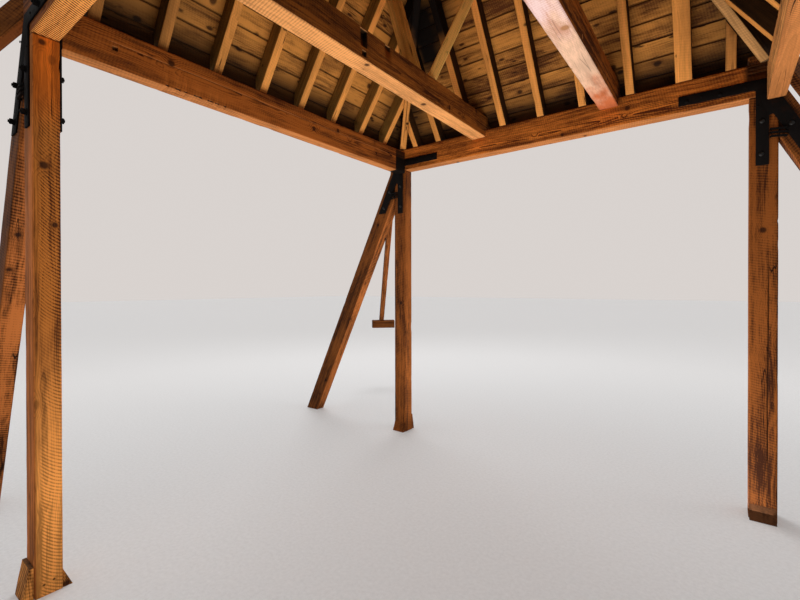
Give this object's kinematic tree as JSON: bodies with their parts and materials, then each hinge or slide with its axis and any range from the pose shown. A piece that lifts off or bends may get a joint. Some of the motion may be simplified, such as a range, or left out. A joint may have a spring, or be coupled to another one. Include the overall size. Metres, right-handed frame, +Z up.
{
  "type": "exposed timber roof frame",
  "caption": "Freestanding bay of an attic's exposed timber frame: posts, braced trusses, cogged beams, iron straps and a boarded hipped roof.",
  "frame": {"origin": "on the floor at the middle of the square of four posts", "axes": "+X along the trusses, +Y from the front truss to the rear truss, +Z up"},
  "size_m": [6.5306, 6.3998, 5.4589],
  "materials": {
    "frame_timber": "matte",
    "beam_timber": "matte",
    "rafter_timber": "matte",
    "roof_boards": "matte",
    "lower_roof_timber": "matte",
    "cleat_timber": "matte",
    "wrought_iron": "matte"
  },
  "bodies": {
    "root": {"corner_props": "rafter_timber", "cross_beam_left": "beam_timber", "cross_beam_right": "beam_timber", "foot_cleats_front_left": "cleat_timber", "foot_cleats_front_right": "cleat_timber", "foot_cleats_rear_left": "cleat_timber", "foot_cleats_rear_right": "cleat_timber", "hip_rafter_front_left": "rafter_timber", "hip_rafter_front_right": "rafter_timber", "hip_rafter_rear_left": "rafter_timber", "hip_rafter_rear_right": "rafter_timber", "hip_seat_front_left": "lower_roof_timber", "hip_seat_front_right": "lower_roof_timber", "hip_seat_rear_left": "lower_roof_timber", "hip_seat_rear_right": "lower_roof_timber", "iron_straps_front_left": "wrought_iron", "iron_straps_front_right": "wrought_iron", "iron_straps_rear_left": "wrought_iron", "iron_straps_rear_right": "wrought_iron", "lower_hip_front_left": "lower_roof_timber", "lower_hip_front_right": "lower_roof_timber", "lower_hip_rear_left": "lower_roof_timber", "lower_hip_rear_right": "lower_roof_timber", "post_front_left": "frame_timber", "post_front_right": "frame_timber", "post_rear_left": "frame_timber", "post_rear_right": "frame_timber", "rafters_front": "rafter_timber", "rafters_left": "rafter_timber", "rafters_rear": "rafter_timber", "rafters_right": "rafter_timber", "raking_strut_front_left": "frame_timber", "raking_strut_front_right": "frame_timber", "raking_strut_rear_left": "frame_timber", "raking_strut_rear_right": "frame_timber", "ridge_board": "rafter_timber", "roof_boarding_front": "roof_boards", "roof_boarding_left": "roof_boards", "roof_boarding_rear": "roof_boards", "roof_boarding_right": "roof_boards", "side_plate_left": "frame_timber", "side_plate_right": "frame_timber", "tie_beam_front": "frame_timber", "tie_beam_rear": "frame_timber"}
  },
  "joints": []
}
